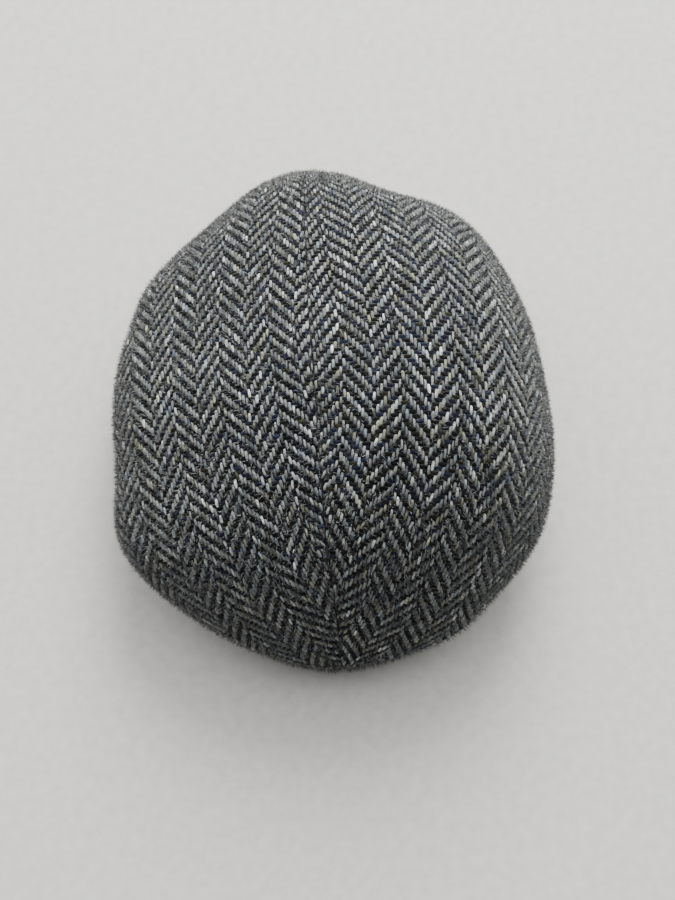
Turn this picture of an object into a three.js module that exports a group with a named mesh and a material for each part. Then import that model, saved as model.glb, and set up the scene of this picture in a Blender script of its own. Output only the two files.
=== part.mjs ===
// Flat cap of tweed: two crown halves joined along a centre seam, a stiff peak under
// the front roll, and a sweatband round the head opening.
// Millimetres, +Z up, the peak towards -Y, the wearer's left towards +X.
import * as THREE from 'three';

// Walls and clearances
const CLOTH_WALL = 2;
const GAP = 0.3;

// Head oval inside the sweatband
const HEAD_WIDTH = 165;
const HEAD_LENGTH = 205;
const HEAD_Y = 30;
const BAND_WALL = 1.6;
const BAND_TALL = 28;
const BAND_LEAN = 3.5;

// Peak: its reach and bare lip at the centre line, and how high its base and tip arch
const PEAK_WALL = 4;
const PEAK_REACH = 51.6;
const PEAK_LIP = 9;
const PEAK_BASE_RISE = 26;
const PEAK_TIP_RISE = 13;
const PEAK_TIP_NARROWING = 1.6;
const PEAK_HORN_DEG = 78;

// Facets
const CROWN_LENGTHS = 40;
const CROWN_ROUNDS = 20;
const PEAK_SPANS = 48;
const PEAK_DEPTHS = 8;
const BAND_SPANS = 96;

// Crown sections from the nose to the back. Each runs from the seam, out to the fullest
// point of the side, and in to the hem, which lands on the oval at a bearing from the front.
// The roll tips its upper part down towards the wearer's left.
const SECTION_COLUMNS = ['seamX', 'seamY', 'seamZ', 'lean', 'bulgeX', 'bulgeY', 'bulgeZ', 'hemDeg', 'roll'];
const SECTIONS = [
  [3, -133, 31, 3, 0, -133, 31, 0, 0],
  [4, -114, 60, 1, 29, -125, 30, 12, 0.04],
  [5, -94, 75, -4, 62, -106, 30, 23, 0.12],
  [6, -66, 88, -3, 89, -73, 32, 37, 0.2],
  [7, -32, 98, -1, 105, -36, 38, 52, 0.25],
  [7, 6, 105, 0, 111, 4, 42, 72, 0.25],
  [7, 44, 104, 0, 111, 44, 42, 98, 0.25],
  [7, 78, 94, 1, 102, 80, 38, 123, 0.2],
  [5, 104, 78, -1, 76, 108, 33, 145, 0.12],
  [4, 124, 54, -4, 45, 128, 28, 162, 0.05],
  [3, 137, 24, 3, 0, 137, 24, 180, 0],
].map((row) => Object.fromEntries(SECTION_COLUMNS.map((column, index) => [column, row[index]])));
const LAST_SECTION = SECTIONS.length - 1;
const BULGE_SHARE = 0.68;

// Soft dents and puffs: where along the sections and round the side, how wide, how far out
const DENTS = [
  { side: -1, at: 1.5, round: 0.6, length: 0.5, width: 0.25, out: -9.5 },
  { side: -1, at: 2.5, round: 0.62, length: 0.6, width: 0.2, out: 3.5 },
  { side: 1, at: 1.8, round: 0.6, length: 0.6, width: 0.25, out: -6 },
  { side: 1, at: 3.1, round: 0.62, length: 0.5, width: 0.2, out: 3.5 },
  { side: 1, at: 5.6, round: 0.65, length: 0.6, width: 0.2, out: -2.5 },
  { side: 1, at: 6.5, round: 0.62, length: 0.5, width: 0.2, out: 3.2 },
];
const CROWN_CORE_Z = 30;
const CROWN_CORE_SHARE = 0.75;

function ovalRadius(bearing, grow) {
  const across = Math.sin(bearing) / (HEAD_WIDTH / 2 + grow);
  const along = Math.cos(bearing) / (HEAD_LENGTH / 2 + grow);
  return 1 / Math.hypot(across, along);
}

function atBearing(bearing, radius, z) {
  return new THREE.Vector3(radius * Math.sin(bearing), HEAD_Y - radius * Math.cos(bearing), z);
}

// One at the front, falling to nothing at the sides
function frontness(bearing) {
  return Math.cos(Math.min(Math.abs(bearing), Math.PI / 2)) ** 2;
}

function hemRadius(bearing) {
  return ovalRadius(bearing, BAND_WALL + GAP + CLOTH_WALL) + PEAK_REACH * frontness(bearing);
}

function peakInner(bearing) {
  return ovalRadius(bearing, BAND_WALL + GAP);
}

function peakOuter(bearing) {
  const share = Math.min(1, Math.abs(bearing) / THREE.MathUtils.degToRad(PEAK_HORN_DEG));
  return hemRadius(bearing) + PEAK_LIP * Math.cos(share * Math.PI / 2);
}

// Height of the peak's upper face, ruled from its arched base to its lower arched tip
function peakTop(bearing, radius) {
  const inner = peakInner(bearing);
  const reach = (radius - inner) / (peakOuter(bearing) - inner);
  const base = PEAK_BASE_RISE * frontness(bearing);
  const tip = PEAK_TIP_RISE * frontness(bearing * PEAK_TIP_NARROWING);
  return PEAK_WALL + base * (1 - reach) + tip * reach;
}

// Rows past either end are the far side's rows, so that the halves meet smoothly
function sectionRow(index) {
  if (index < 0) {
    const row = SECTIONS[1];
    return { ...row, bulgeX: -row.bulgeX, hemDeg: -row.hemDeg };
  }
  if (index > LAST_SECTION) {
    const row = SECTIONS[LAST_SECTION - 1];
    return { ...row, bulgeX: -row.bulgeX, hemDeg: 360 - row.hemDeg };
  }
  return SECTIONS[index];
}

function catmullRom(a, b, c, d, f) {
  const linear = (c - a) * f;
  const square = (2 * a - 5 * b + 4 * c - d) * f * f;
  const cube = (3 * b - a - 3 * c + d) * f * f * f;
  return b + 0.5 * (linear + square + cube);
}

function sectionAt(at) {
  const index = Math.min(Math.floor(at), LAST_SECTION - 1);
  const rows = [-1, 0, 1, 2].map((step) => sectionRow(index + step));
  const section = {};
  for (const column of SECTION_COLUMNS) {
    const [a, b, c, d] = rows.map((row) => row[column]);
    section[column] = catmullRom(a, b, c, d, at - index);
  }
  return section;
}

function hemPoint(section, side) {
  const bearing = THREE.MathUtils.degToRad(section.hemDeg);
  const radius = hemRadius(bearing);
  const hem = atBearing(bearing, radius, peakTop(bearing, radius - CLOTH_WALL) + GAP);
  hem.x *= side;
  return hem;
}

// Point of one half's outer face: a rolled quarter ellipse to the bulge, then an S to the hem
function crownPoint(section, side, round) {
  const bulge = new THREE.Vector3(section.lean + side * section.bulgeX, section.bulgeY, section.bulgeZ);
  if (round <= BULGE_SHARE) {
    const angle = round / BULGE_SHARE * Math.PI / 2;
    const seam = new THREE.Vector3(section.seamX, section.seamY, section.seamZ);
    const centre = new THREE.Vector3(section.seamX, section.bulgeY, section.bulgeZ);
    const outward = bulge.clone().sub(centre).multiplyScalar(Math.sin(angle));
    const upward = seam.sub(centre).multiplyScalar(Math.cos(angle));
    const point = centre.add(outward).add(upward);
    point.z -= section.roll * (point.x - section.seamX) * Math.cos(angle);
    return point;
  }
  const drop = (round - BULGE_SHARE) / (1 - BULGE_SHARE);
  const hem = hemPoint(section, side);
  const tuck = THREE.MathUtils.smoothstep(drop, 0, 1);
  return new THREE.Vector3(
    THREE.MathUtils.lerp(bulge.x, hem.x, tuck),
    THREE.MathUtils.lerp(bulge.y, hem.y, tuck),
    THREE.MathUtils.lerp(bulge.z, hem.z, drop),
  );
}

function dentDepth(side, at, round) {
  const fade = Math.sin(Math.PI * round) * Math.sin(Math.PI * at / LAST_SECTION);
  let depth = 0;
  for (const dent of DENTS.filter((row) => row.side === side)) {
    const along = (at - dent.at) / dent.length;
    const across = (round - dent.round) / dent.width;
    depth += dent.out * fade * Math.exp(-along * along - across * across);
  }
  return depth;
}

function crownSheet(side) {
  const sheet = { points: [], onSeam: [], onHem: [], triangles: [] };
  const seen = new Map();
  function vertex(i, j) {
    const at = LAST_SECTION * i / CROWN_LENGTHS;
    const round = j / CROWN_ROUNDS;
    const point = crownPoint(sectionAt(at), side, round);
    const core = new THREE.Vector3(0, CROWN_CORE_SHARE * point.y, CROWN_CORE_Z);
    const outward = point.clone().sub(core).normalize();
    point.addScaledVector(outward, dentDepth(side, at, round));
    point.x += side * GAP / 2;
    const key = point.toArray().map((value) => value.toFixed(4)).join(' ');
    if (!seen.has(key)) {
      seen.set(key, sheet.points.length);
      sheet.points.push(point);
      sheet.onSeam.push(i === 0 || i === CROWN_LENGTHS || j === 0);
      sheet.onHem.push(j === CROWN_ROUNDS);
    }
    return seen.get(key);
  }
  function face(a, b, c) {
    if (a !== b && b !== c && c !== a) {
      sheet.triangles.push(side > 0 ? [a, b, c] : [a, c, b]);
    }
  }
  for (let i = 0; i < CROWN_LENGTHS; i += 1) {
    for (let j = 0; j < CROWN_ROUNDS; j += 1) {
      const [a, b] = [vertex(i, j), vertex(i, j + 1)];
      const [c, d] = [vertex(i + 1, j), vertex(i + 1, j + 1)];
      face(a, b, d);
      face(a, d, c);
    }
  }
  return sheet;
}

// Outward directions, kept in the seam's plane at the seam and level at the hem
function sheetNormals(sheet) {
  const normals = sheet.points.map(() => new THREE.Vector3());
  for (const corners of sheet.triangles) {
    const [a, b, c] = corners.map((index) => sheet.points[index]);
    const area = b.clone().sub(a).cross(c.clone().sub(a));
    corners.forEach((index) => normals[index].add(area));
  }
  normals.forEach((normal, index) => {
    if (sheet.onSeam[index]) normal.x = 0;
    if (sheet.onHem[index]) normal.z = 0;
    normal.normalize();
  });
  return normals;
}

// Closes an open sheet into a wall of even thickness, its own face outermost
function thicken(sheet, wall) {
  const count = sheet.points.length;
  const normals = sheetNormals(sheet);
  const inner = sheet.points.map((point, index) => point.clone().addScaledVector(normals[index], -wall));
  const triangles = [...sheet.triangles];
  const edges = new Map();
  for (const [a, b, c] of sheet.triangles) {
    triangles.push([a + count, c + count, b + count]);
    for (const [from, to] of [[a, b], [b, c], [c, a]]) {
      if (edges.has(`${to} ${from}`)) {
        edges.delete(`${to} ${from}`);
      } else {
        edges.set(`${from} ${to}`, [from, to]);
      }
    }
  }
  for (const [from, to] of edges.values()) {
    triangles.push([from, to + count, to], [from, from + count, to + count]);
  }
  return solid([...sheet.points, ...inner], triangles);
}

function solid(points, triangles) {
  const geometry = new THREE.BufferGeometry();
  const values = points.flatMap((point) => point.toArray());
  geometry.setAttribute('position', new THREE.Float32BufferAttribute(values, 3));
  geometry.setIndex(triangles.flat());
  geometry.computeVertexNormals();
  return geometry;
}

// Skins a row of equal closed loops, joined round or capped at both ends
function loft(loops, closed) {
  const size = loops[0].length;
  const triangles = [];
  const rows = closed ? loops.length : loops.length - 1;
  for (let i = 0; i < rows; i += 1) {
    const next = (i + 1) % loops.length;
    for (let j = 0; j < size; j += 1) {
      const turn = (j + 1) % size;
      const [a, b] = [i * size + j, i * size + turn];
      const [c, d] = [next * size + j, next * size + turn];
      triangles.push([a, b, d], [a, d, c]);
    }
  }
  if (!closed) {
    const end = (loops.length - 1) * size;
    for (let j = 1; j < size - 1; j += 1) {
      triangles.push([0, j + 1, j], [end, end + j, end + j + 1]);
    }
  }
  return solid(loops.flat(), triangles);
}

// Cross-section of the peak at one bearing: over the top, round the lip, back underneath
function peakLoop(bearing) {
  const inner = peakInner(bearing);
  const width = peakOuter(bearing) - inner;
  const lip = Math.min(PEAK_WALL / 2, width / 3);
  const top = [];
  const under = [];
  for (let k = 0; k <= PEAK_DEPTHS; k += 1) {
    const radius = inner + (width - lip) * k / PEAK_DEPTHS;
    const z = peakTop(bearing, radius);
    top.push(atBearing(bearing, radius, z));
    under.unshift(atBearing(bearing, radius, z - PEAK_WALL));
  }
  const edge = [60, 20, -20, -60].map((deg) => {
    const angle = THREE.MathUtils.degToRad(deg);
    const radius = inner + width - lip + lip * Math.cos(angle);
    const middle = peakTop(bearing, inner + width) - PEAK_WALL / 2;
    return atBearing(bearing, radius, middle + PEAK_WALL / 2 * Math.sin(angle));
  });
  return [...top, ...edge, ...under];
}

function peak() {
  const horn = THREE.MathUtils.degToRad(PEAK_HORN_DEG);
  const loops = [];
  for (let i = 0; i <= PEAK_SPANS; i += 1) {
    loops.push(peakLoop(horn * (2 * i / PEAK_SPANS - 1)));
  }
  return loft(loops, false);
}

// The band stands on its lower edge at the sides and back, and rises behind the peak's arch
function sweatband() {
  const loops = [];
  for (let i = 0; i < BAND_SPANS; i += 1) {
    const turn = 2 * Math.PI * i / BAND_SPANS;
    const bearing = turn > Math.PI ? turn - 2 * Math.PI : turn;
    const foot = (PEAK_BASE_RISE - 1) * frontness(bearing);
    const top = foot + BAND_TALL;
    loops.push([
      atBearing(bearing, ovalRadius(bearing, 0), foot),
      atBearing(bearing, ovalRadius(bearing, -BAND_LEAN), top),
      atBearing(bearing, ovalRadius(bearing, BAND_WALL - BAND_LEAN), top),
      atBearing(bearing, ovalRadius(bearing, BAND_WALL), foot),
    ]);
  }
  return loft(loops, true);
}

function piece(name, geometry, color, roughness) {
  const material = new THREE.MeshStandardMaterial({ color, roughness, metalness: 0 });
  material.name = name;
  const mesh = new THREE.Mesh(geometry, material);
  mesh.name = name;
  return mesh;
}

const cap = new THREE.Group();
cap.name = 'flat_cap';
cap.add(piece('crown_left', thicken(crownSheet(1), CLOTH_WALL), 0x5d5e63, 0.95));
cap.add(piece('crown_right', thicken(crownSheet(-1), CLOTH_WALL), 0x5d5e63, 0.95));
cap.add(piece('peak', peak(), 0x55565b, 0.95));
cap.add(piece('sweatband', sweatband(), 0x1c1c20, 0.8));

export default cap;
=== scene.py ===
# Tweed flat cap: cloth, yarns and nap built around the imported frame.
# Shapes are worked out in millimetres and become metres when a mesh is made.
import math

import bpy
import numpy as np
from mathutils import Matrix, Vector


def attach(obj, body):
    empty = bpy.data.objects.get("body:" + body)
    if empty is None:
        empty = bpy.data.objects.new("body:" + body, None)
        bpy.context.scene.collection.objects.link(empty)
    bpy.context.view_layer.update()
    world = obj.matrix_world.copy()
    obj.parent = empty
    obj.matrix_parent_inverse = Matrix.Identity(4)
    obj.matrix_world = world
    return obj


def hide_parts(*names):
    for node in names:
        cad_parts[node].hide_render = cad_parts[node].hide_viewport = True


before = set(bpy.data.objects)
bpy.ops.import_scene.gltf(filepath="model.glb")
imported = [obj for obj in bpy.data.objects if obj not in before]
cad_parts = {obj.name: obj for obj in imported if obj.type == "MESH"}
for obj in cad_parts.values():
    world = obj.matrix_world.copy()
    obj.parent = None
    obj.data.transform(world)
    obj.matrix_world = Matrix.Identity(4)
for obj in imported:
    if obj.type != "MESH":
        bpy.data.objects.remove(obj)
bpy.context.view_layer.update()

MM = 0.001
rng = np.random.default_rng(11)

# Head oval, band and peak, as in the CAD model
HEAD_WIDTH = 165.0
HEAD_LENGTH = 205.0
HEAD_Y = 30.0
CLOTH_WALL = 2.0
GAP = 0.3
BAND_WALL = 1.6
BAND_TALL = 28.0
BAND_LEAN = 3.5
PEAK_WALL = 4.0
PEAK_REACH = 51.6
PEAK_LIP = 9.0
PEAK_BASE_RISE = 26.0
PEAK_TIP_RISE = 13.0
PEAK_TIP_NARROWING = 1.6
PEAK_HORN_DEG = 78.0

# Crown sections from the nose to the back, as in the CAD model:
# seam x y z, lean, bulge x y z, hem bearing in degrees, roll
SECTIONS = np.array([
    [3, -133, 31, 3, 0, -133, 31, 0, 0],
    [4, -114, 60, 1, 29, -125, 30, 12, 0.04],
    [5, -94, 75, -4, 62, -106, 30, 23, 0.12],
    [6, -66, 88, -3, 89, -73, 32, 37, 0.2],
    [7, -32, 98, -1, 105, -36, 38, 52, 0.25],
    [7, 6, 105, 0, 111, 4, 42, 72, 0.25],
    [7, 44, 104, 0, 111, 44, 42, 98, 0.25],
    [7, 78, 94, 1, 102, 80, 38, 123, 0.2],
    [5, 104, 78, -1, 76, 108, 33, 145, 0.12],
    [4, 124, 54, -4, 45, 128, 28, 162, 0.05],
    [3, 137, 24, 3, 0, 137, 24, 180, 0],
])
SEAM_X, SEAM_Y, SEAM_Z, LEAN, BULGE_X, BULGE_Y, BULGE_Z, HEM_DEG, ROLL = range(9)
LAST_SECTION = len(SECTIONS) - 1
BULGE_SHARE = 0.68
# Dents and puffs: side, along the sections, round the side, length, width, how far out
DENTS = [
    (-1, 1.5, 0.6, 0.5, 0.25, -9.5),
    (-1, 2.5, 0.62, 0.6, 0.2, 3.5),
    (1, 1.8, 0.6, 0.6, 0.25, -6.0),
    (1, 3.1, 0.62, 0.5, 0.2, 3.5),
    (1, 5.6, 0.65, 0.6, 0.2, -2.5),
    (1, 6.5, 0.62, 0.5, 0.2, 3.2),
]
CROWN_CORE_Z = 30.0
CROWN_CORE_SHARE = 0.75

# Weave: a 2/2 herringbone of light ends on dark picks
END_PITCH = 1.725
PICK_PITCH = 2.02
ENDS_IN_STRIPE = 8
STRIPE_BREAK = 2
# Where the seam cuts the cloth, in millimetres across the stripes at each section
GRAIN_AT_SEAM = {
    -1: [-6, -8, -9, -10, -13, -14, -10, -1, 9.5, 24, 36],
    1: [3, 1, 0, -3, -7.5, -6.5, -1.5, 5, 14, 28, 40],
}
PATTERN_SIZE = 520.0
PATTERN_MARGIN = 30.0
INNER_SHEET_COLUMN = 0.5
FLAT_FLOAT_WIDTH = 0.98

# Laying the crown flat: a net of springs down to just past the bulge
FLAT_LENGTHS = 81
FLAT_ROUNDS = 41
FLAT_NET = 29
FLAT_TURNS = 2200
FLAT_EASE = 1.9
FLAT_SEAM_HOLD = 0.3
HEM_SMOOTHING = 13
FIND_TURNS = 14
FIND_STEP = 3
FIND_MISS = 0.05
CROWN_LENGTHS = 160
CROWN_ROUNDS = 100
CROWN_CROWDING = 1.3

# Relief of the seam and depth of the cloth under the yarns
SEAM_DEPTH = 0.9
SEAM_WIDTH = 2.2
SEAM_DEPTH_AT_ENDS = 0.2
SEAM_PUCKER = 0.25
SEAM_PUCKER_WAVES = (31.0, 12.7)
SEAM_PUFF = 0.3
SEAM_PUFF_AT = 5.0
SEAM_PUFF_WIDTH = 2.5
SEAM_CLEAR = 0.1
SEAM_TUCK = 0.6
GROUND_DROP = 0.35

# Yarn floats: mean and spread of length and width, as shares of the weave's own, and of height
WARP_LENGTH = (1.16, 0.1)
WARP_WIDTH = (0.8, 0.1)
WARP_HEIGHT = (0.85, 0.1)
WARP_LEAN = math.radians(5)
WARP_SKEW = math.radians(5)
WARP_TONE_SPREAD = 0.42
WEFT_EXTRA_LENGTH = 0.25
WEFT_WIDTH = (1.02, 0.06)
WEFT_HEIGHT = (0.62, 0.08)
WEFT_SKEW = math.radians(4)
WEFT_TONE_SPREAD = 0.5
GRAIN_STATIONS = np.linspace(-1, 1, 5)
GRAIN_ANGLES = np.radians([-90, -32, 32, 90])
GRAIN_TAPER = 0.4
GRAIN_DIP = 1.15
GRAIN_WIDTH_RANGE = (0.7, 1.3)
# Where the cloth is drawn too far from the flat piece, no float is placed
LEAST_SQUARE = 0.5
LEAST_STRETCH = 0.4
MOST_STRETCH = 2.0

# Loose fibres: sizes in millimetres, lean in radians, the rest as shares
NAP_STRANDS = 56000
NAP_LENGTH = (1.2, 3.4)
NAP_WIDTH = (0.15, 0.28)
NAP_LEAN = (0.25, 1.3)
NAP_BEND = 0.3
NAP_ROOT_UP = 0.1
NAP_LOWER_SHARE = 0.55
NAP_CURL = 0.3
NAP_WAIST = 0.8
NAP_TONE_SPREAD = 0.3
NAP_RUBBED = 0.85
NAP_THINS_FROM = (7, 9)
NAP_AT_BACK = 0.5

# Peak and band details
PEAK_FLAT_SHIFT = 150.0
PEAK_BEARINGS = 121
PEAK_TOP_POINTS = 25
PEAK_EDGE_POINTS = 13
PEAK_EDGE_DEG = 75
PEAK_COVERED = 19
BAND_RIBS = 380
BAND_RIB_DEPTH = 0.12
BAND_POINTS_UP = 9
BAND_EDGE_IN = 0.3
BAND_ROUNDING = 0.8
BAND_ROUNDING_POWER = 8
BAND_FLAT_GIRTH = 0.75
BAND_FLAT_APART = 20
BAND_STITCHES = 190
BAND_STITCH_STEP = 0.002
BAND_STITCH_UP = 2.5
BAND_STITCH_OUT = 0.1
BAND_STITCH_WIDTH = 0.56
BAND_STITCH_HEIGHT = 0.75

# Wool tones and how often each is picked
LIGHT_YARN = [
    (0.28, 0.293, 0.28), (0.21, 0.235, 0.245), (0.42, 0.445, 0.43),
    (0.27, 0.278, 0.21), (0.20, 0.195, 0.16), (0.12, 0.145, 0.19),
]
LIGHT_SHARES = [0.40, 0.30, 0.15, 0.11, 0.02, 0.02]
DARK_YARN = [(0.006, 0.006, 0.007), (0.007, 0.009, 0.019), (0.016, 0.016, 0.018), (0.014, 0.014, 0.007)]
DARK_SHARES = [0.46, 0.36, 0.12, 0.06]
NAP_WOOL = [(0.20, 0.203, 0.20), (0.045, 0.045, 0.05), (0.37, 0.376, 0.37)]
NAP_SHARES = [0.5, 0.3, 0.2]
STITCH_TONE = (0.03, 0.03, 0.034)
STITCH_TONE_SPREAD = 0.2


def oval_radius(bearing, grow):
    across = np.sin(bearing) / (HEAD_WIDTH / 2 + grow)
    along = np.cos(bearing) / (HEAD_LENGTH / 2 + grow)
    return 1 / np.hypot(across, along)


def at_bearing(bearing, radius, z):
    x = radius * np.sin(bearing)
    y = HEAD_Y - radius * np.cos(bearing)
    return np.stack(np.broadcast_arrays(x, y, z), -1)


def frontness(bearing):
    return np.cos(np.minimum(np.abs(bearing), math.pi / 2)) ** 2


def hem_radius(bearing):
    return oval_radius(bearing, BAND_WALL + GAP + CLOTH_WALL) + PEAK_REACH * frontness(bearing)


def peak_inner(bearing):
    return oval_radius(bearing, BAND_WALL + GAP)


def peak_outer(bearing):
    share = np.minimum(1, np.abs(bearing) / math.radians(PEAK_HORN_DEG))
    return hem_radius(bearing) + PEAK_LIP * np.cos(share * math.pi / 2)


def peak_top(bearing, radius):
    inner = peak_inner(bearing)
    reach = (radius - inner) / (peak_outer(bearing) - inner)
    base = PEAK_BASE_RISE * frontness(bearing)
    tip = PEAK_TIP_RISE * frontness(bearing * PEAK_TIP_NARROWING)
    return PEAK_WALL + base * (1 - reach) + tip * reach


def section_values(at):
    ahead = SECTIONS[1].copy()
    ahead[[BULGE_X, HEM_DEG]] *= -1
    behind = SECTIONS[-2].copy()
    behind[BULGE_X] *= -1
    behind[HEM_DEG] = 360 - behind[HEM_DEG]
    rows = np.vstack([ahead, SECTIONS, behind])
    index = np.minimum(np.floor(at).astype(int), LAST_SECTION - 1)
    f = (at - index)[..., None]
    a, b, c, d = (rows[index + step] for step in range(4))
    linear = (c - a) * f
    square = (2 * a - 5 * b + 4 * c - d) * f ** 2
    cube = (3 * b - a - 3 * c + d) * f ** 3
    return b + 0.5 * (linear + square + cube)


def crown_points(side, at, rounds):
    """Outer face of one crown half: a rolled quarter ellipse to the bulge, then an S to the hem."""
    at, rounds = np.broadcast_arrays(at, rounds)
    values = np.moveaxis(section_values(at), -1, 0)
    seam_x, seam_y, seam_z, lean, bulge_x, bulge_y, bulge_z, hem_deg, roll = values
    bulge = np.stack([lean + side * bulge_x, bulge_y, bulge_z], -1)
    centre = np.stack([seam_x, bulge_y, bulge_z], -1)
    seam = np.stack([seam_x, seam_y, seam_z], -1)
    angle = np.minimum(rounds / BULGE_SHARE, 1) * math.pi / 2
    sine, cosine = np.sin(angle)[..., None], np.cos(angle)[..., None]
    upper = centre + (bulge - centre) * sine + (seam - centre) * cosine
    upper[..., 2] -= roll * (upper[..., 0] - seam_x) * cosine[..., 0]

    bearing = np.radians(hem_deg)
    radius = hem_radius(bearing)
    hem = at_bearing(bearing, radius, peak_top(bearing, radius - CLOTH_WALL) + GAP)
    hem[..., 0] *= side
    drop = np.clip((rounds - BULGE_SHARE) / (1 - BULGE_SHARE), 0, 1)[..., None]
    tuck = drop * drop * (3 - 2 * drop)
    lower = bulge + (hem - bulge) * np.concatenate([tuck, tuck, drop], -1)
    points = np.where((rounds <= BULGE_SHARE)[..., None], upper, lower)

    fade = np.sin(math.pi * rounds) * np.sin(math.pi * at / LAST_SECTION)
    depth = np.zeros(at.shape)
    for dent_side, dent_at, dent_round, length, width, out in DENTS:
        if dent_side == side:
            along = (at - dent_at) / length
            across = (rounds - dent_round) / width
            depth += out * fade * np.exp(-along ** 2 - across ** 2)
    outward = points - (points * [0, CROWN_CORE_SHARE, 0] + [0, 0, CROWN_CORE_Z])
    outward /= np.linalg.norm(outward, axis=-1, keepdims=True)
    points = points + outward * depth[..., None]
    points[..., 0] += side * GAP / 2
    return points


def sample(grid, place):
    """Bilinear values of a grid at fractional row and column positions."""
    top = np.array(grid.shape[:2]) - 2
    low = np.clip(np.floor(place).astype(int), 0, top)
    f = place - low
    i, j = low[..., 0], low[..., 1]
    fi, fj = f[..., :1], f[..., 1:]
    near = grid[i, j] * (1 - fj) + grid[i, j + 1] * fj
    far = grid[i + 1, j] * (1 - fj) + grid[i + 1, j + 1] * fj
    return near * (1 - fi) + far * fi


def slopes(grid, place):
    """Changes of a grid's values per row and per column at fractional positions."""
    limit = np.array(grid.shape[:2]) - 1.0
    found = []
    for axis in (0, 1):
        step = np.zeros(2)
        step[axis] = 0.5
        low = np.clip(place - step, 0, limit)
        high = np.clip(place + step, 0, limit)
        span = (high - low)[..., axis:axis + 1]
        found.append((sample(grid, high) - sample(grid, low)) / span)
    return found


def unit(vectors):
    length = np.linalg.norm(vectors, axis=-1, keepdims=True)
    return vectors / np.maximum(length, 1e-9)


def grid_normals(points, flip):
    down = np.gradient(points, axis=0)
    across = np.gradient(points, axis=1)
    return unit(np.cross(down, across)) * flip


class Cloth:
    """A grid of points of a cloth's face, with where each lies in the flat cut piece."""

    def __init__(self, points, flat, flip):
        self.points = points
        self.flat = flat
        self.flip = flip
        self.normals = grid_normals(points, flip)

    def nearest(self, flat_points):
        """Grid positions of the nodes that lie nearest to points of the flat piece."""
        limit = np.array(self.flat.shape[:2]) - 1.0
        nodes = self.flat[::2, ::2]
        columns = nodes.shape[1]
        nodes = nodes.reshape(-1, 2)
        nearest = []
        for chunk in np.array_split(flat_points, max(1, len(flat_points) // 200)):
            distance = ((chunk[:, None] - nodes[None]) ** 2).sum(-1)
            nearest.append(distance.argmin(1))
        nearest = np.concatenate(nearest)
        place = 2.0 * np.stack([nearest // columns, nearest % columns], -1)
        return np.minimum(place, limit)

    def find(self, flat_points, start):
        """Grid positions of points of the flat piece, and which of them are on the cloth."""
        limit = np.array(self.flat.shape[:2]) - 1.0
        place = start
        for _ in range(FIND_TURNS):
            miss = flat_points - sample(self.flat, place)
            down, across = slopes(self.flat, place)
            turn = down[:, 0] * across[:, 1] - down[:, 1] * across[:, 0]
            turn = np.where(np.abs(turn) < 1e-6, 1e-6, turn)
            step_down = (miss[:, 0] * across[:, 1] - miss[:, 1] * across[:, 0]) / turn
            step_across = (down[:, 0] * miss[:, 1] - down[:, 1] * miss[:, 0]) / turn
            step = np.clip(np.stack([step_down, step_across], -1), -FIND_STEP, FIND_STEP)
            place = np.clip(place + step, 0, limit)
        miss = np.linalg.norm(flat_points - sample(self.flat, place), axis=1)
        return place, miss < FIND_MISS

    def frames(self, place):
        """Point, directions of one millimetre across and along the grain, and outward direction."""
        point = sample(self.points, place)
        down, across = slopes(self.points, place)
        flat_down, flat_across = slopes(self.flat, place)
        turn = (flat_down[:, 0] * flat_across[:, 1] - flat_down[:, 1] * flat_across[:, 0])[:, None]
        turn = np.where(np.abs(turn) < 1e-6, 1e-6, turn)
        u_way = (down * flat_across[:, 1:] - across * flat_down[:, 1:]) / turn
        v_way = (across * flat_down[:, :1] - down * flat_across[:, :1]) / turn
        return point, u_way, v_way, unit(sample(self.normals, place))


def net_links():
    """Pairs of node numbers that the springs of the flat net join: along, across and both diagonals."""
    index = np.arange(FLAT_LENGTHS * FLAT_NET).reshape(FLAT_LENGTHS, FLAT_NET)
    pairs = [
        (index[:-1], index[1:]),
        (index[:, :-1], index[:, 1:]),
        (index[:-1, :-1], index[1:, 1:]),
        (index[1:, :-1], index[:-1, 1:]),
    ]
    first = np.concatenate([a.ravel() for a, _ in pairs])
    second = np.concatenate([b.ravel() for _, b in pairs])
    return first, second, index[:, 0]


def settle(flat, lengths, grain):
    """Lets the springs find their lengths, with the seam held on its grain."""
    first, second, seam = net_links()
    count = len(flat)
    springs = np.bincount(first, minlength=count) + np.bincount(second, minlength=count)
    ease = (FLAT_EASE / springs)[:, None]
    for _ in range(FLAT_TURNS):
        span = flat[second] - flat[first]
        now = np.linalg.norm(span, axis=1)
        pull = span * ((now - lengths) / np.maximum(now, 1e-6) * 0.5)[:, None]
        move = np.empty_like(flat)
        for k in range(2):
            gained = np.bincount(first, pull[:, k], count)
            lost = np.bincount(second, pull[:, k], count)
            move[:, k] = gained - lost
        flat += move * ease
        flat[seam, 0] += FLAT_SEAM_HOLD * (grain - flat[seam, 0])
    return flat.reshape(FLAT_LENGTHS, FLAT_NET, 2)


def outward_from(line):
    """Smoothed directions at right angles to a line that is mirrored past both its ends."""
    step = np.gradient(line, axis=0)
    half = HEM_SMOOTHING // 2
    mirror = [1, -1]
    step = np.concatenate([step[half:0:-1] * mirror, step, step[-2:-2 - half:-1] * mirror])
    even = np.ones(HEM_SMOOTHING) / HEM_SMOOTHING
    smooth_u, smooth_v = (np.convolve(step[:, k], even, "valid") for k in range(2))
    return unit(np.stack([smooth_v, -smooth_u], -1))


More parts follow.
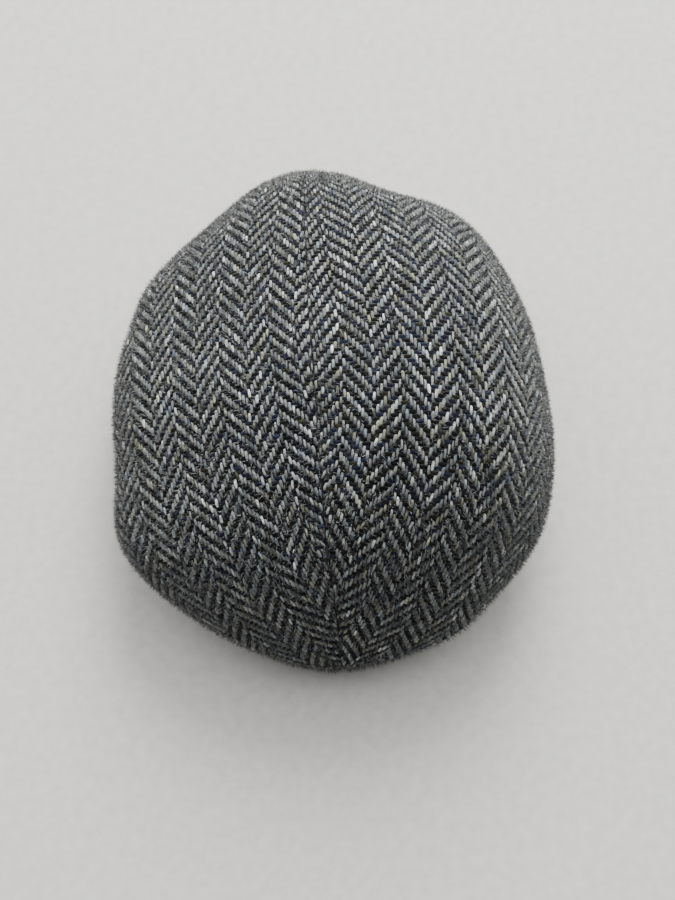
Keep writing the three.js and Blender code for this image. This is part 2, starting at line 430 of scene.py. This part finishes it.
def flatten(side):
    """Lays one crown half flat; what turns in under the bulge runs straight on from the net."""
    at = np.linspace(0, LAST_SECTION, FLAT_LENGTHS)
    rounds = np.linspace(0, 1, FLAT_ROUNDS)
    points = crown_points(side, at[:, None], rounds[None, :])
    grain = np.interp(at, np.arange(LAST_SECTION + 1), GRAIN_AT_SEAM[side])
    first, second, _ = net_links()
    solid = points[:, :FLAT_NET].reshape(-1, 3)
    lengths = np.linalg.norm(solid[first] - solid[second], axis=1)
    seam_run = np.cumsum(np.linalg.norm(np.diff(points[:, 0], axis=0), axis=1))
    seam_run = np.concatenate([[0], seam_run])
    side_run = np.cumsum(np.linalg.norm(np.diff(points, axis=1), axis=2), axis=1)
    side_run = np.concatenate([np.zeros((FLAT_LENGTHS, 1)), side_run], 1)
    values = section_values(at)
    across = values[:, BULGE_X] + side * (values[:, LEAN] - values[:, SEAM_X])
    along = values[:, BULGE_Y] - values[:, SEAM_Y]
    way = np.stack([across, along], -1)
    way[0], way[-1] = (0, -1), (0, 1)
    root = np.stack([grain, seam_run], -1)
    start = root[:, None] + unit(way)[:, None] * side_run[:, :FLAT_NET, None]
    flat = settle(start.reshape(-1, 2), lengths, grain)
    below = side_run[:, FLAT_NET:] - side_run[:, FLAT_NET - 1:FLAT_NET]
    hem = flat[:, -1:] + outward_from(flat[:, -1])[:, None] * below[..., None]
    return np.concatenate([flat, hem], 1)


def seam_relief(side, at, points):
    """How far the cloth is drawn in at the seam, and puffed beside it."""
    seam_x = section_values(at)[..., SEAM_X]
    away = np.maximum(0, side * (points[..., 0] - seam_x) - GAP / 2)
    fast, slow = SEAM_PUCKER_WAVES
    pucker = 1 + SEAM_PUCKER * np.sin(at * fast + side) * np.sin(at * slow)
    ends = np.clip(np.minimum(at, LAST_SECTION - at), SEAM_DEPTH_AT_ENDS, 1)
    groove = SEAM_DEPTH * ends * pucker * np.exp(-(away / SEAM_WIDTH) ** 2)
    puff = SEAM_PUFF * np.exp(-((away - SEAM_PUFF_AT) / SEAM_PUFF_WIDTH) ** 2)
    return puff - groove


def crown_cloth(side):
    flat = flatten(side)
    at = np.linspace(0, LAST_SECTION, CROWN_LENGTHS + 1)[:, None]
    rounds = (np.linspace(0, 1, CROWN_ROUNDS + 1) ** CROWN_CROWDING)[None, :]
    at, rounds = np.broadcast_arrays(at, rounds)
    points = crown_points(side, at, rounds)
    normals = grid_normals(points, -side)
    points = points + normals * seam_relief(side, at, points)[..., None]
    place = np.stack([at / LAST_SECTION * (FLAT_LENGTHS - 1), rounds * (FLAT_ROUNDS - 1)], -1)
    return Cloth(points, sample(flat, place), -side)


def herringbone(low, high, first_slope):
    """Yarn floats over a flat area: (centre u, centre v, half length, slope) of ends and of picks."""
    ends = np.arange(math.floor(low[0] / END_PITCH), math.ceil(high[0] / END_PITCH))
    picks = np.arange(math.floor(low[1] / PICK_PITCH), math.ceil(high[1] / PICK_PITCH))
    stripe = np.floor_divide(ends, ENDS_IN_STRIPE)
    slope = first_slope * np.where(stripe % 2 == 0, 1, -1)
    step = np.where(np.diff(stripe) > 0, STRIPE_BREAK, slope[1:])
    phase = np.concatenate([[0], np.cumsum(step)])
    over = (picks[None, :] - phase[:, None]) % 4 < 2
    warp = []
    for i, end in enumerate(ends):
        starts = np.flatnonzero(over[i, 1:] & ~over[i, :-1]) + 1
        for j in starts:
            warp.append(((end + 0.5) * END_PITCH, (picks[j] + 1) * PICK_PITCH, PICK_PITCH, slope[i]))
    weft = []
    for j, pick in enumerate(picks):
        under = np.concatenate([[False], ~over[:, j], [False]])
        change = np.flatnonzero(np.diff(under.astype(int)))
        for start, stop in change.reshape(-1, 2):
            middle = ends[0] + (start + stop) / 2
            half = (stop - start) / 2 * END_PITCH
            weft.append((middle * END_PITCH, (pick + 0.5) * PICK_PITCH, half, slope[start]))
    return np.array(warp), np.array(weft)


def grain_faces(count, flip):
    stations, around = len(GRAIN_STATIONS), len(GRAIN_ANGLES)
    index = np.arange(stations * around).reshape(stations, around)
    quads = np.stack([index[:-1, :-1], index[:-1, 1:], index[1:, 1:], index[1:, :-1]], -1)
    quads = quads.reshape(-1, 4)
    if flip:
        quads = quads[:, ::-1]
    shift = np.arange(count)[:, None, None] * stations * around
    return (quads[None] + shift).reshape(-1, 4)


def grains(point, wide_way, normal, half_width, height):
    """Half tubes, one for each float, along its stations, with both ends dipping into the cloth."""
    s = GRAIN_STATIONS[None, :, None, None]
    angle = GRAIN_ANGLES[None, None, :, None]
    taper = 1 - GRAIN_TAPER * s ** 2
    arch = 1 - GRAIN_DIP * s ** 4
    half_width = half_width[:, None, None, None]
    height = height[:, None, None, None]
    verts = (
        point[:, :, None]
        + wide_way[:, :, None] * half_width * taper * np.sin(angle)
        + normal[:, :, None] * (height * arch * np.cos(angle) - GROUND_DROP)
    )
    return verts.reshape(len(point), -1, 3)


def tone(count, colours, shares, spread):
    """Random yarn colours: a mix of named tones, each float a little lighter or darker."""
    pick = rng.choice(len(colours), size=count, p=shares)
    lightness = np.exp(rng.normal(0, spread, count))
    return np.array(colours)[pick] * lightness[:, None]


def node(tree, kind, **settings):
    made = tree.nodes.new(kind)
    for name, value in settings.items():
        setattr(made, name, value)
    return made


def math_node(tree, operation, first, second=None):
    made = node(tree, "ShaderNodeMath", operation=operation)
    for socket, value in zip(made.inputs, (first, second)):
        if isinstance(value, (int, float)):
            socket.default_value = value
        elif value is not None:
            tree.links.new(value, socket)
    return made.outputs[0]


def new_material(name, roughness, sheen, sheen_roughness=0.5, specular=0.2):
    material = bpy.data.materials.new(name)
    material.use_nodes = True
    shader = material.node_tree.nodes["Principled BSDF"]
    shader.inputs["Roughness"].default_value = roughness
    shader.inputs["Specular IOR Level"].default_value = specular
    shader.inputs["Sheen Weight"].default_value = sheen
    shader.inputs["Sheen Roughness"].default_value = sheen_roughness
    return material, material.node_tree, shader


def flat_millimetres(tree, scale=(1.0, 1.0)):
    """Position in the flat cut piece, in millimetres, each way multiplied by a scale."""
    uv = node(tree, "ShaderNodeUVMap", uv_map="OFBake")
    mapping = node(tree, "ShaderNodeMapping")
    mapping.inputs["Scale"].default_value = (PATTERN_SIZE * scale[0], PATTERN_SIZE * scale[1], 1)
    tree.links.new(uv.outputs["UV"], mapping.inputs["Vector"])
    return mapping.outputs["Vector"]


def multiply_colour(tree, colour, factor):
    mix = node(tree, "ShaderNodeMix", data_type="RGBA", blend_type="MULTIPLY")
    mix.inputs["Factor"].default_value = 1.0
    tree.links.new(colour, mix.inputs["A"])
    tree.links.new(factor, mix.inputs["B"])
    return mix.outputs["Result"]


def noise_between(tree, vector, scale, detail, low, high):
    noise = node(tree, "ShaderNodeTexNoise")
    noise.inputs["Scale"].default_value = scale
    noise.inputs["Detail"].default_value = detail
    tree.links.new(vector, noise.inputs["Vector"])
    spread = node(tree, "ShaderNodeMapRange")
    spread.inputs["From Min"].default_value = 0.3
    spread.inputs["From Max"].default_value = 0.7
    spread.inputs["To Min"].default_value = low
    spread.inputs["To Max"].default_value = high
    tree.links.new(noise.outputs["Fac"], spread.inputs["Value"])
    return spread.outputs["Result"]


def add_bump(tree, shader, height, strength, distance):
    bump = node(tree, "ShaderNodeBump")
    bump.inputs["Strength"].default_value = strength
    bump.inputs["Distance"].default_value = distance
    tree.links.new(height, bump.inputs["Height"])
    tree.links.new(bump.outputs["Normal"], shader.inputs["Normal"])


def yarn_material(name, along_u, sheen):
    """Wool yarn: the float's own tone, streaked by fibres that run along it."""
    material, tree, shader = new_material(name, roughness=0.95, sheen=sheen)
    tint = node(tree, "ShaderNodeVertexColor", layer_name="yarn")
    fine, long = 2.2, 0.8
    vector = flat_millimetres(tree, (long, fine) if along_u else (fine, long))
    streak = noise_between(tree, vector, scale=1.0, detail=2.0, low=0.35, high=1.65)
    colour = multiply_colour(tree, tint.outputs["Color"], streak)
    tree.links.new(colour, shader.inputs["Base Color"])
    add_bump(tree, shader, streak, strength=0.5, distance=0.00015)
    return material


def woven_material(name, light, dark, first_slope):
    """Herringbone drawn in the material, for the ground under the yarns and the inside of the cap."""
    material, tree, shader = new_material(name, roughness=0.95, sheen=0.03)
    split = node(tree, "ShaderNodeSeparateXYZ")
    tree.links.new(flat_millimetres(tree), split.inputs["Vector"])
    across = math_node(tree, "DIVIDE", split.outputs["X"], END_PITCH)
    along = math_node(tree, "DIVIDE", split.outputs["Y"], PICK_PITCH)
    end = math_node(tree, "FLOOR", across)
    zigzag = math_node(tree, "PINGPONG", math_node(tree, "MULTIPLY", end, first_slope), ENDS_IN_STRIPE)
    lifted = math_node(tree, "SUBTRACT", math_node(tree, "FLOOR", along), zigzag)
    turn = math_node(tree, "FLOORED_MODULO", lifted, 4.0)
    over = math_node(tree, "LESS_THAN", turn, 2.0)
    mix = node(tree, "ShaderNodeMix", data_type="RGBA")
    mix.inputs["A"].default_value = (*dark, 1)
    mix.inputs["B"].default_value = (*light, 1)
    tree.links.new(over, mix.inputs["Factor"])
    grey = noise_between(tree, flat_millimetres(tree), scale=1.6, detail=3.0, low=0.5, high=1.5)
    tree.links.new(multiply_colour(tree, mix.outputs["Result"], grey), shader.inputs["Base Color"])
    add_bump(tree, shader, grey, strength=0.6, distance=0.0004)
    return material


def make_piece(name, verts, faces, flat, materials, colours=None, face_material=None):
    """A smooth mesh from arrays in millimetres, riding on the cap."""
    mesh = bpy.data.meshes.new(name)
    faces = np.asarray(faces, dtype=np.int32)
    corners = faces.shape[1]
    mesh.vertices.add(len(verts))
    mesh.vertices.foreach_set("co", (np.asarray(verts) * MM).astype(np.float32).ravel())
    mesh.loops.add(faces.size)
    mesh.loops.foreach_set("vertex_index", faces.ravel())
    mesh.polygons.add(len(faces))
    mesh.polygons.foreach_set("loop_start", np.arange(0, faces.size, corners, dtype=np.int32))
    for material in materials:
        mesh.materials.append(material)
    if face_material is not None:
        mesh.polygons.foreach_set("material_index", np.asarray(face_material, dtype=np.int32))
    mesh.update(calc_edges=True)
    mesh.polygons.foreach_set("use_smooth", np.ones(len(faces), dtype=bool))
    layer = mesh.uv_layers.new(name="OFBake")
    layer.data.foreach_set("uv", np.asarray(flat)[faces.ravel()].astype(np.float32).ravel())
    if colours is not None:
        attribute = mesh.color_attributes.new("yarn", "FLOAT_COLOR", "POINT")
        rgba = np.concatenate([colours, np.ones((len(colours), 1))], 1)
        attribute.data.foreach_set("color", rgba.astype(np.float32).ravel())
    piece = bpy.data.objects.new(name, mesh)
    bpy.context.scene.collection.objects.link(piece)
    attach(piece, "root")
    return piece


def pattern_uv(flat, column=0.0):
    return (flat + PATTERN_MARGIN) / PATTERN_SIZE + [column, 0]


def grid_faces(rows, columns, shift=0, flip=False):
    index = np.arange(rows * columns).reshape(rows, columns) + shift
    quads = np.stack([index[:-1, :-1], index[:-1, 1:], index[1:, 1:], index[1:, :-1]], -1).reshape(-1, 4)
    return quads[:, ::-1] if flip else quads


def shell(cloth, outer_drop, inner_drop):
    """Closed wall under a cloth's face: outer and inner sheets joined round their edge."""
    rows, columns = cloth.points.shape[:2]
    count = rows * columns
    outer = (cloth.points - cloth.normals * outer_drop).reshape(-1, 3)
    inner = (cloth.points - cloth.normals * inner_drop).reshape(-1, 3)
    flip = cloth.flip > 0
    index = np.arange(count).reshape(rows, columns)
    rim = np.concatenate([index[0], index[1:, -1], index[-1, -2::-1], index[-2:0:-1, 0]])
    turn = np.roll(rim, -1)
    edge = np.stack([rim, rim + count, turn + count, turn], -1)
    faces = np.concatenate([
        grid_faces(rows, columns, 0, flip),
        grid_faces(rows, columns, count, not flip),
        edge[:, ::-1] if flip else edge,
    ])
    flat = cloth.flat.reshape(-1, 2)
    uv = np.concatenate([pattern_uv(flat), pattern_uv(flat, INNER_SHEET_COLUMN)])
    return np.concatenate([outer, inner]), faces, uv


def seam_beside(place):
    """Seam x at the sections where grid positions of a crown half lie."""
    return section_values(place[:, 0] / CROWN_LENGTHS * LAST_SECTION)[:, SEAM_X][:, None]


def keep_on_side(verts, side, place):
    """Floats that reach over the seam are tucked into it."""
    seam_x = seam_beside(place)
    over = side * (verts[..., 0] - seam_x) < SEAM_CLEAR
    verts[..., 0] = np.where(over, seam_x + side * SEAM_CLEAR, verts[..., 0])
    verts[..., 2] -= np.where(over, SEAM_TUCK, 0)
    return verts


def about(mean_and_spread, wobble):
    """A mean value, off by its spread times a random number."""
    mean, spread = mean_and_spread
    return mean + spread * wobble


def warp_sizes(floats, wobble):
    """Half length, half width, height and tilt of the light floats."""
    half_length = floats[:, 2] * about(WARP_LENGTH, wobble[:, 3])
    half_width = END_PITCH / 2 * about(WARP_WIDTH, wobble[:, 0])
    tilt = floats[:, 3] * WARP_LEAN + WARP_SKEW * wobble[:, 2]
    return half_length, half_width, about(WARP_HEIGHT, wobble[:, 1]), tilt


def weft_sizes(floats, wobble):
    """Half length, half width, height and tilt of the dark floats."""
    half_length = floats[:, 2] + WEFT_EXTRA_LENGTH
    half_width = PICK_PITCH / 2 * about(WEFT_WIDTH, wobble[:, 0])
    return half_length, half_width, about(WEFT_HEIGHT, wobble[:, 1]), WEFT_SKEW * wobble[:, 2]


def lies_well(cloth, place):
    """Which grid positions have cloth that is neither sheared nor stretched too far."""
    _, u_way, v_way, _ = cloth.frames(place)
    stretch_u = np.linalg.norm(u_way, axis=1)
    stretch_v = np.linalg.norm(v_way, axis=1)
    square = np.linalg.norm(np.cross(u_way, v_way), axis=1) / (stretch_u * stretch_v)
    shortest, longest = np.minimum(stretch_u, stretch_v), np.maximum(stretch_u, stretch_v)
    return (square > LEAST_SQUARE) & (shortest > LEAST_STRETCH) & (longest < MOST_STRETCH)


def float_paths(cloth, floats, place, along_u, half_length, tilt):
    """Points, width directions and outward directions at each float's stations, and their hand."""
    cosine, sine = np.cos(tilt), np.sin(tilt)
    long_flat = np.stack([cosine, sine] if along_u else [sine, cosine], -1)
    run = half_length[:, None] * GRAIN_STATIONS[None]
    path = floats[:, None, :2] + long_flat[:, None] * run[..., None]
    count, stations = run.shape
    path_place, _ = cloth.find(path.reshape(-1, 2), np.repeat(place, stations, axis=0))
    frames = [part.reshape(count, stations, 3) for part in cloth.frames(path_place)]
    point, u_way, v_way, normal = frames
    cosine, sine = cosine[:, None, None], sine[:, None, None]
    wide_way = v_way * cosine - u_way * sine if along_u else u_way * cosine - v_way * sine
    breadth = np.clip(np.linalg.norm(wide_way, axis=-1, keepdims=True), *GRAIN_WIDTH_RANGE)
    handed = np.sum(np.cross(u_way, v_way) * normal) > 0
    return point, unit(wide_way) * breadth, normal, handed


def float_flats(floats, along_u, half_length, half_width):
    """Where the points of each float lie in the flat piece."""
    s, angle = np.meshgrid(GRAIN_STATIONS, np.sin(GRAIN_ANGLES), indexing="ij")
    long_part = s.ravel()[None, :] * half_length[:, None]
    wide_part = angle.ravel()[None, :] * half_width[:, None] * FLAT_FLOAT_WIDTH
    offset = (long_part, wide_part) if along_u else (wide_part, long_part)
    return (floats[:, None, :2] + np.stack(offset, -1)).reshape(-1, 2)


def weave_on(name, cloth, side, materials, keep=None):
    """Covers a cloth with its warp and weft floats as two pieces."""
    low = cloth.flat.reshape(-1, 2).min(0)
    high = cloth.flat.reshape(-1, 2).max(0)
    systems = herringbone(low, high, first_slope=-side if side else 1)
    for kind, floats, material in zip(("warp", "weft"), systems, materials):
        along_u = kind == "weft"
        place, found = cloth.find(floats[:, :2], cloth.nearest(floats[:, :2]))
        chosen = found & lies_well(cloth, place)
        if keep is not None:
            chosen &= keep(place)
        floats, place = floats[chosen], place[chosen]
        count = len(floats)
        wobble = rng.normal(0, 1, (count, 4))
        if along_u:
            half_length, half_width, height, tilt = weft_sizes(floats, wobble)
            colours = tone(count, DARK_YARN, DARK_SHARES, WEFT_TONE_SPREAD)
        else:
            half_length, half_width, height, tilt = warp_sizes(floats, wobble)
            colours = tone(count, LIGHT_YARN, LIGHT_SHARES, WARP_TONE_SPREAD)
        point, wide_way, normal, handed = float_paths(cloth, floats, place, along_u, half_length, tilt)
        verts = grains(point, wide_way, normal, half_width, height)
        if side:
            verts = keep_on_side(verts, side, place)
        flat = float_flats(floats, along_u, half_length, half_width)
        make_piece(f"{name}_{kind}", verts.reshape(-1, 3), grain_faces(count, handed == along_u),
                   pattern_uv(flat), [material], colours=np.repeat(colours, verts.shape[1], axis=0))


def cell_uv(count, inside):
    """A cell of the unit square for each of many blades, with the places of its points."""
    cells = math.ceil(math.sqrt(count))
    corner = np.stack([np.arange(count) % cells, np.arange(count) // cells], -1)
    return ((corner[:, None] + np.asarray(inside)[None]) / cells).reshape(-1, 2)


def nap_on(name, cloth, side, material, count):
    """Loose wool fibres, each a thin tapering blade, fewer where the top is rubbed smooth."""
    falling = cloth.points[1:, 1:] - cloth.points[:-1, :-1]
    rising = cloth.points[1:, :-1] - cloth.points[:-1, 1:]
    area = np.linalg.norm(np.cross(falling, rising), axis=-1)
    rubbed = NAP_RUBBED * np.clip(cloth.normals[:-1, :-1, 2] * 3 - 2, 0, 1)
    at = np.linspace(0, LAST_SECTION, len(area))[:, None]
    weight = area * (1 - rubbed) * np.interp(at, NAP_THINS_FROM, (1, NAP_AT_BACK))
    share = np.cumsum(weight.ravel()) / weight.sum()
    cell = np.minimum(np.searchsorted(share, rng.random(count)), area.size - 1)
    place = np.stack([cell // area.shape[1], cell % area.shape[1]], -1) + rng.random((count, 2))
    point, u_way, v_way, normal = cloth.frames(place)
    heading = rng.uniform(0, 2 * math.pi, count)[:, None]
    run = unit(unit(u_way) * np.cos(heading) + unit(v_way) * np.sin(heading))
    beside = np.cross(normal, run)
    length = rng.uniform(*NAP_LENGTH, count)[:, None]
    half_width = beside * rng.uniform(*NAP_WIDTH, count)[:, None] / 2
    lean = rng.uniform(*NAP_LEAN, count)[:, None]
    bend = beside * rng.normal(0, NAP_BEND, count)[:, None]
    low_lean, high_lean = lean * (1 - NAP_CURL), lean * (1 + NAP_CURL)
    root = point + normal * NAP_ROOT_UP
    lower_way = normal * np.cos(low_lean) + run * np.sin(low_lean)
    upper_way = normal * np.cos(high_lean) + run * np.sin(high_lean) + bend
    middle = root + length * NAP_LOWER_SHARE * lower_way
    tip = middle + length * (1 - NAP_LOWER_SHARE) * upper_way
    waist = half_width * NAP_WAIST
    verts = np.stack([root - half_width, root + half_width, middle - waist, middle + waist, tip], 1)
    seam_x = seam_beside(place)
    verts[..., 0] = np.where(side * (verts[..., 0] - seam_x) < 0, seam_x, verts[..., 0])
    blade = np.array([[0, 1, 3], [0, 3, 2], [2, 3, 4]])
    corners = verts.shape[1]
    faces = (blade[None] + corners * np.arange(count)[:, None, None]).reshape(-1, 3)
    colours = tone(count, NAP_WOOL, NAP_SHARES, NAP_TONE_SPREAD)
    uv = cell_uv(count, [(0.1, 0.1), (0.9, 0.1), (0.1, 0.5), (0.9, 0.5), (0.5, 0.9)])
    make_piece(name, verts.reshape(-1, 3), faces, uv, [material],
               colours=np.repeat(colours, corners, axis=0))


def build_crown(warp, weft, ground, nap):
    for side, name in ((1, "crown_left"), (-1, "crown_right")):
        cloth = crown_cloth(side)
        verts, faces, uv = shell(cloth, GROUND_DROP, CLOTH_WALL)
        base = make_piece(f"{name}_cloth", verts, faces, uv, [ground[side]])
        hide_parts(name)
        weave_on(name, cloth, side, (warp, weft))
        nap_on(f"{name}_nap", cloth, side, nap, NAP_STRANDS)


def ring_mesh(loops, closed):
    """Faces of a row of equal closed loops; open rows end in a point at each end."""
    if not closed:
        ends = [np.repeat(loop.mean(0)[None], len(loop), 0) for loop in (loops[0], loops[-1])]
        loops = np.concatenate([ends[:1], loops, ends[1:]])
    rows, size = loops.shape[:2]
    index = np.arange(rows * size).reshape(rows, size)
    if closed:
        index = np.concatenate([index, index[:1]])
    index = np.concatenate([index, index[:, :1]], 1)
    quads = np.stack([index[:-1, :-1], index[:-1, 1:], index[1:, 1:], index[1:, :-1]], -1)
    return loops.reshape(-1, 3), quads.reshape(-1, 4)


def peak_profile(bearing):
    """Radius, height and run from the lip of points over the peak, round its edge and underneath."""
    inner, outer = peak_inner(bearing), peak_outer(bearing)
    lip = np.minimum(PEAK_WALL / 2, (outer - inner) / 3)
    flat_width = outer - lip - inner
    top_share = np.linspace(0, 1, PEAK_TOP_POINTS)
    top_radius = inner + flat_width * top_share
    top_z = peak_top(bearing, top_radius)
    edge_angle = np.radians(np.linspace(PEAK_EDGE_DEG, -PEAK_EDGE_DEG, PEAK_EDGE_POINTS))
    edge_radius = outer - lip + lip * np.cos(edge_angle)
    edge_z = peak_top(bearing, outer) + PEAK_WALL / 2 * (np.sin(edge_angle) - 1)
    radius = np.concatenate([top_radius, edge_radius, top_radius[::-1]])
    z = np.concatenate([top_z, edge_z, (top_z - PEAK_WALL)[::-1]])
    run = np.concatenate([[0], np.cumsum(np.hypot(np.diff(radius), np.diff(z)))])
    middle = len(top_share) + len(edge_angle) // 2
    return radius, z, run[middle] - run


def build_peak(warp, weft, ground):
    bearings = np.radians(np.linspace(-PEAK_HORN_DEG, PEAK_HORN_DEG, PEAK_BEARINGS))
    loops, flats = [], []
    for bearing in bearings:
        radius, z, run = peak_profile(bearing)
        loops.append(at_bearing(bearing, radius, z))
        flats.append(at_bearing(bearing, peak_outer(bearing) + run, 0.0)[:, :2])
    loops, flats = np.array(loops), np.array(flats) + [PEAK_FLAT_SHIFT, PEAK_FLAT_SHIFT]
    cloth = Cloth(loops, flats, -1)
    verts, faces = ring_mesh(loops - cloth.normals * GROUND_DROP, closed=False)
    uv = np.concatenate([flats[:1], flats, flats[-1:]]).reshape(-1, 2)
    base = make_piece("peak_cloth", verts, faces, pattern_uv(uv), [ground])
    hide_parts("peak")
    weave_on("peak", cloth, 0, (warp, weft), keep=lambda place: place[:, 1] > PEAK_COVERED)


def round_bearings(count):
    """Even turns round the head opening, and the bearings that they stand for."""
    turn = np.linspace(0, 2 * math.pi, count, endpoint=False)
    return turn, np.where(turn > math.pi, turn - 2 * math.pi, turn)


def band_foot(bearing):
    return (PEAK_BASE_RISE - 1) * frontness(bearing)


def build_sweatband(band):
    turn, bearing = round_bearings(BAND_RIBS * 4)
    rib = BAND_RIB_DEPTH * np.cos(BAND_RIBS * turn)
    rise = np.linspace(0, 1, BAND_POINTS_UP)
    up = np.concatenate([rise, rise[::-1]])
    outer = np.repeat([0, 1], BAND_POINTS_UP)
    loops = []
    for share, is_outer in zip(up, outer):
        rounding = 1 - BAND_ROUNDING * abs(2 * share - 1) ** BAND_ROUNDING_POWER
        relief = rib * rounding - BAND_RIB_DEPTH - BAND_EDGE_IN * (1 - rounding)
        grow = BAND_WALL * is_outer - BAND_LEAN * share + (relief if is_outer else -relief)
        height = band_foot(bearing) + BAND_TALL * share
        loops.append(at_bearing(bearing, oval_radius(bearing, grow), height))
    verts, faces = ring_mesh(np.moveaxis(np.array(loops), 0, 1), closed=True)
    girth = turn * HEAD_LENGTH / 2 * BAND_FLAT_GIRTH
    climb = up * BAND_TALL + outer * BAND_WALL * BAND_FLAT_APART
    flat = np.stack(np.broadcast_arrays(girth[:, None], climb[None]), -1).reshape(-1, 2)
    piece = make_piece("sweatband_cloth", verts, faces, pattern_uv(flat), [band])
    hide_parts("sweatband")


def build_band_stitches(thread):
    """Two rows of stitches inside the band, near its lower and upper edges."""
    _, bearing = round_bearings(BAND_STITCHES)
    points, ways = [], []
    for height in (BAND_STITCH_UP, BAND_TALL - BAND_STITCH_UP):
        grow = BAND_STITCH_OUT - BAND_LEAN * height / BAND_TALL
        here, ahead = (
            at_bearing(b, oval_radius(b, grow), band_foot(b) + height)
            for b in (bearing, bearing + BAND_STITCH_STEP)
        )
        points.append(here)
        ways.append(unit(ahead - here))
    point = np.concatenate(points)
    along = np.concatenate(ways)
    inward = unit(np.cross(along, [0, 0, 1.0]))
    inward *= np.where(np.sum(inward * (point - [0, HEAD_Y, 0]), 1) > 0, -1, 1)[:, None]
    count, stations = len(point), len(GRAIN_STATIONS)
    path = point[:, None] + along[:, None] * GRAIN_STATIONS[None, :, None]
    across = np.repeat(np.cross(inward, along)[:, None], stations, 1)
    normal = np.repeat(inward[:, None], stations, 1)
    half_width = np.full(count, BAND_STITCH_WIDTH / 2)
    verts = grains(path, across, normal, half_width, np.full(count, BAND_STITCH_HEIGHT))
    row = np.stack([np.arange(count) / count, np.full(count, 0.5)], -1)
    uv = np.repeat(row, verts.shape[1], 0)
    colours = tone(count, [STITCH_TONE], [1.0], STITCH_TONE_SPREAD)
    make_piece("sweatband_stitches", verts.reshape(-1, 3), grain_faces(count, True), uv, [thread],
               colours=np.repeat(colours, verts.shape[1], 0))


def band_material():
    """Near-black ribbed band: fine threads across the ribs, a little worn to grey."""
    material, tree, shader = new_material("band_cloth", roughness=0.8, sheen=0.15, specular=0.3)
    fine = flat_millimetres(tree, (0.8, 6.0))
    thread = noise_between(tree, fine, scale=1.0, detail=2.0, low=0.6, high=1.5)
    base = node(tree, "ShaderNodeRGB")
    base.outputs[0].default_value = (0.016, 0.016, 0.019, 1)
    tree.links.new(multiply_colour(tree, base.outputs[0], thread), shader.inputs["Base Color"])
    add_bump(tree, shader, thread, strength=0.4, distance=0.0001)
    return material


def add_floor():
    size = 3.0
    mesh = bpy.data.meshes.new("floor")
    corners = [(-size, -size, 0), (size, -size, 0), (size, size, 0), (-size, size, 0)]
    mesh.from_pydata(corners, [], [(0, 1, 2, 3)])
    floor = bpy.data.objects.new("floor", mesh)
    bpy.context.scene.collection.objects.link(floor)
    material, tree, shader = new_material("pale_floor", roughness=0.7, sheen=0.0, specular=0.3)
    place = node(tree, "ShaderNodeTexCoord").outputs["Object"]
    cloud = noise_between(tree, place, scale=180.0, detail=4.0, low=0.93, high=1.05)
    base = node(tree, "ShaderNodeRGB")
    base.outputs[0].default_value = (0.93, 0.915, 0.87, 1)
    tree.links.new(multiply_colour(tree, base.outputs[0], cloud), shader.inputs["Base Color"])
    mesh.materials.append(material)


def add_light(name, place, aim, size, power):
    lamp = bpy.data.lights.new(name, "AREA")
    lamp.shape = "DISK"
    lamp.size = size
    lamp.energy = power
    holder = bpy.data.objects.new(name, lamp)
    holder.location = place
    holder.rotation_euler = (Vector(aim) - Vector(place)).to_track_quat("-Z", "Y").to_euler()
    bpy.context.scene.collection.objects.link(holder)


def add_world(toward, dim, bright, strength):
    """Soft room light that is brightest in one direction."""
    world = bpy.data.worlds.new("soft_room")
    world.use_nodes = True
    tree = world.node_tree
    way = node(tree, "ShaderNodeVectorMath", operation="DOT_PRODUCT")
    way.inputs[1].default_value = Vector(toward).normalized()
    tree.links.new(node(tree, "ShaderNodeTexCoord").outputs["Generated"], way.inputs[0])
    ramp = node(tree, "ShaderNodeMapRange", interpolation_type="SMOOTHSTEP")
    for name, value in (("From Min", 0.0), ("From Max", 0.95), ("To Min", dim), ("To Max", bright)):
        ramp.inputs[name].default_value = value
    tree.links.new(way.outputs["Value"], ramp.inputs["Value"])
    background = tree.nodes["Background"]
    background.inputs["Strength"].default_value = strength
    tree.links.new(ramp.outputs["Result"], background.inputs["Color"])
    bpy.context.scene.world = world


def add_camera(azimuth, elevation, distance, target, lens):
    a, e = math.radians(azimuth), math.radians(elevation)
    back = Vector((math.sin(a) * math.cos(e), -math.cos(a) * math.cos(e), math.sin(e)))
    data = bpy.data.cameras.new("camera")
    data.sensor_width = 36.0
    data.lens = lens
    camera = bpy.data.objects.new("camera", data)
    camera.location = Vector(target) + back * distance
    camera.rotation_euler = (-back).to_track_quat("-Z", "Y").to_euler()
    bpy.context.scene.collection.objects.link(camera)
    bpy.context.scene.camera = camera


add_camera(azimuth=175.7, elevation=75.0, distance=0.762, target=(-0.003, 0.028, 0.040), lens=59.2)
add_floor()
add_world(toward=(-0.06, -0.89, 0.48), dim=0.06, bright=1.0, strength=1.97)
add_light("key", (-0.3, -1.35, 1.1), (0, 0.05, 0.05), 1.0, 34.5)

warp = yarn_material("light_yarn", along_u=False, sheen=0.1)
weft = yarn_material("dark_yarn", along_u=True, sheen=0.05)
nap = yarn_material("loose_wool", along_u=False, sheen=0.12)
ground = {
    side: woven_material(f"tweed_ground_{name}", (0.10, 0.10, 0.10), (0.012, 0.012, 0.016), slope)
    for side, name, slope in ((1, "left", -1), (-1, "right", 1))
}
build_crown(warp, weft, ground, nap)
build_peak(warp, weft, ground[1])
build_sweatband(band_material())
build_band_stitches(weft)
